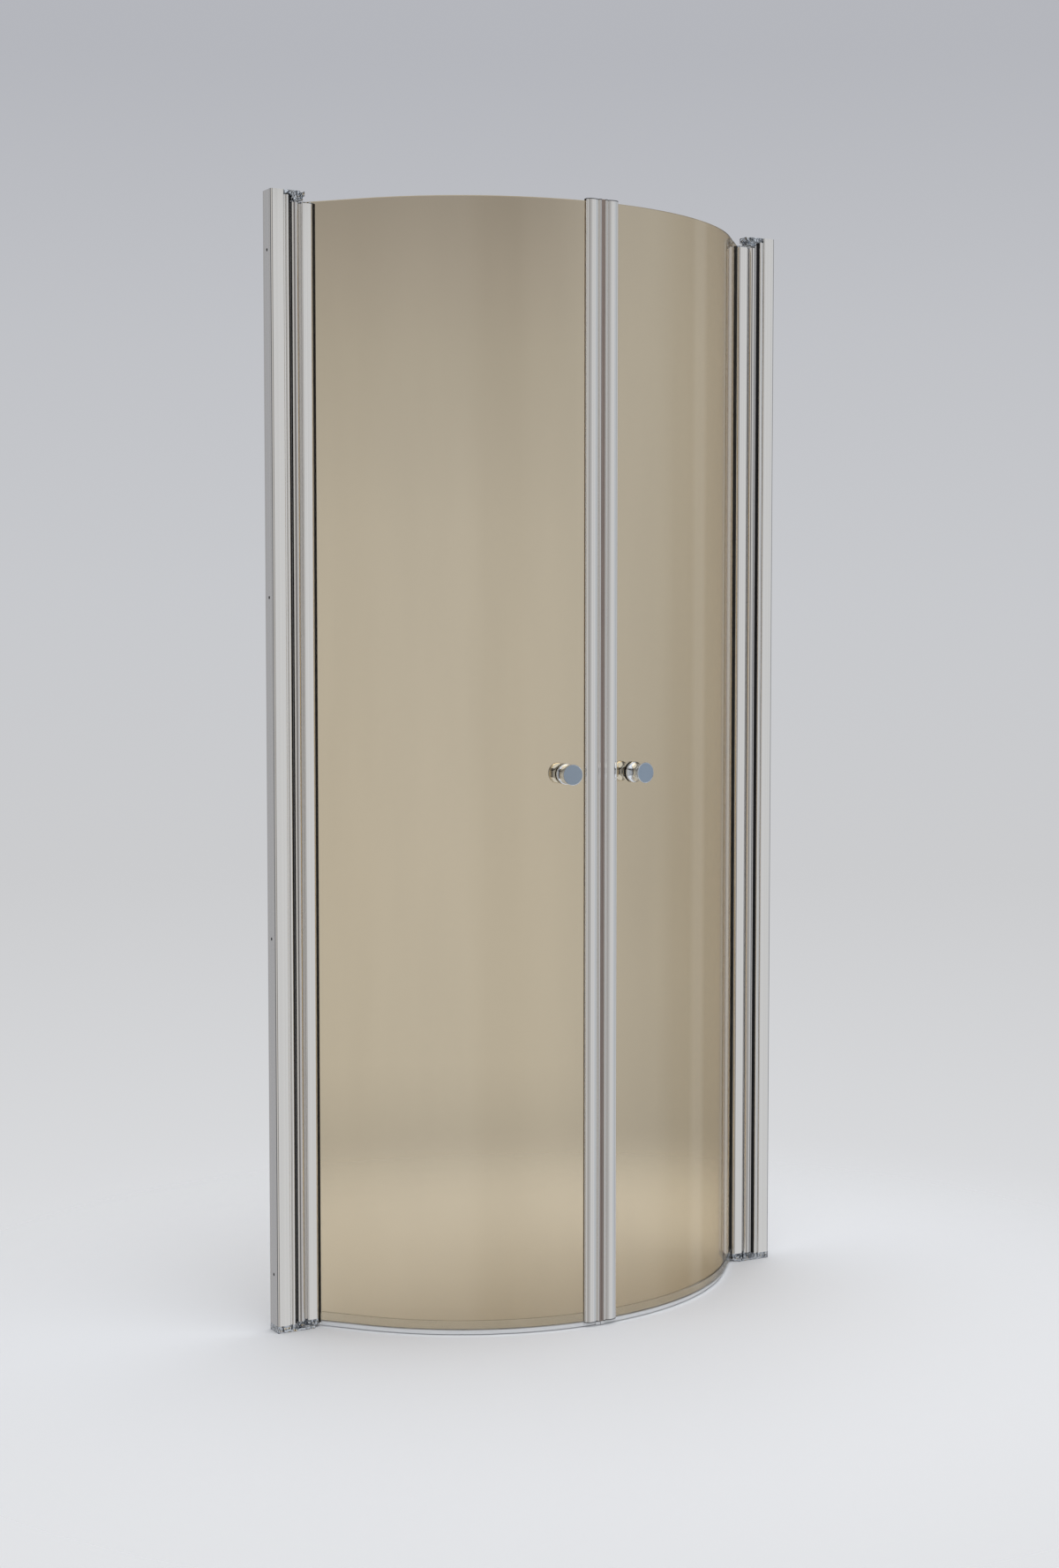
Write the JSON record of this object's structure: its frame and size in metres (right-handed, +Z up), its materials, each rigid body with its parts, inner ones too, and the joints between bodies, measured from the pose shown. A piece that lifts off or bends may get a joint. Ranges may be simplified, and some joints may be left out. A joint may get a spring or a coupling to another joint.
{
  "type": "bowed double shower door",
  "caption": "Bowed double swing shower door for a niche: curved tinted glass leaves on pivot profiles, bright wall profiles, chrome pivots and round double-sided knobs.",
  "frame": {"origin": "centre of the bounding box at floor level, so z = 0 is the underside of the foot blocks", "axes": "+Z up; the bowed front with the outer knobs faces -Y; +X to the right seen from the front"},
  "size_m": [1.026, 0.2926, 1.95],
  "materials": {
    "bright_aluminium": "bright polished, lengthwise extrusion lines",
    "chrome": "mirror chrome plate on zinc casting",
    "satin_insert": "satin disc",
    "pin_steel": "ground steel pin",
    "screw_steel": "stainless screw steel",
    "bronze_glass": "clear bronze tint, toughened",
    "black_rubber": "matt black rubber",
    "clear_seal": "clear soft plastic",
    "grey_lining": "grey lining tape",
    "grey_cap": "silver-grey moulded plastic",
    "dark_cap": "dark moulded plastic",
    "magnet_strip": "brown-grey magnetic plastic",
    "white_nylon": "white nylon"
  },
  "bodies": {
    "frame": {"wall_profile_left": "bright_aluminium", "wall_profile_right": "bright_aluminium", "post_profile_left": "bright_aluminium", "post_profile_right": "bright_aluminium", "top_cap_left": "grey_cap", "top_cap_right": "grey_cap", "gap_seal_left": "black_rubber", "gap_seal_right": "black_rubber", "top_bracket_left": "chrome", "top_bracket_right": "chrome", "foot_block_left": "chrome", "foot_block_right": "chrome", "top_pin_left": "pin_steel", "top_pin_right": "pin_steel", "bottom_pin_left": "pin_steel", "bottom_pin_right": "pin_steel", "adjusting_screws": "screw_steel", "bracket_screws": "screw_steel"},
    "door_left": {"pivot_profile_left": "bright_aluminium", "pivot_bushes_left": "white_nylon", "pivot_caps_left": "chrome", "glass_rubber_left": "black_rubber", "door_glass_left": "bronze_glass", "bottom_seal_left": "clear_seal", "closing_profile_left": "bright_aluminium", "closing_tape_left": "grey_lining", "closing_caps_left": "dark_cap", "magnet_strip_left": "magnet_strip", "outer_knob_left": "chrome", "inner_knob_left": "chrome", "knob_inserts_left": "satin_insert", "knob_washers_left": "black_rubber", "knob_stud_left": "screw_steel"},
    "door_right": {"pivot_profile_right": "bright_aluminium", "pivot_bushes_right": "white_nylon", "pivot_caps_right": "chrome", "glass_rubber_right": "black_rubber", "door_glass_right": "bronze_glass", "bottom_seal_right": "clear_seal", "closing_profile_right": "bright_aluminium", "closing_tape_right": "grey_lining", "closing_caps_right": "dark_cap", "magnet_strip_right": "magnet_strip", "outer_knob_right": "chrome", "inner_knob_right": "chrome", "knob_inserts_right": "satin_insert", "knob_washers_right": "black_rubber", "knob_stud_right": "screw_steel"}
  },
  "joints": [
    {"name": "left_hinge", "type": "hinge", "parent": "frame", "child": "door_left", "pos_m": [-0.467, 0.11762, 0], "axis": [0, 0, -1], "range_deg": [0, 90]},
    {"name": "right_hinge", "type": "hinge", "parent": "frame", "child": "door_right", "pos_m": [0.467, 0.11762, 0], "axis": [0, 0, 1], "range_deg": [0, 90]}
  ]
}
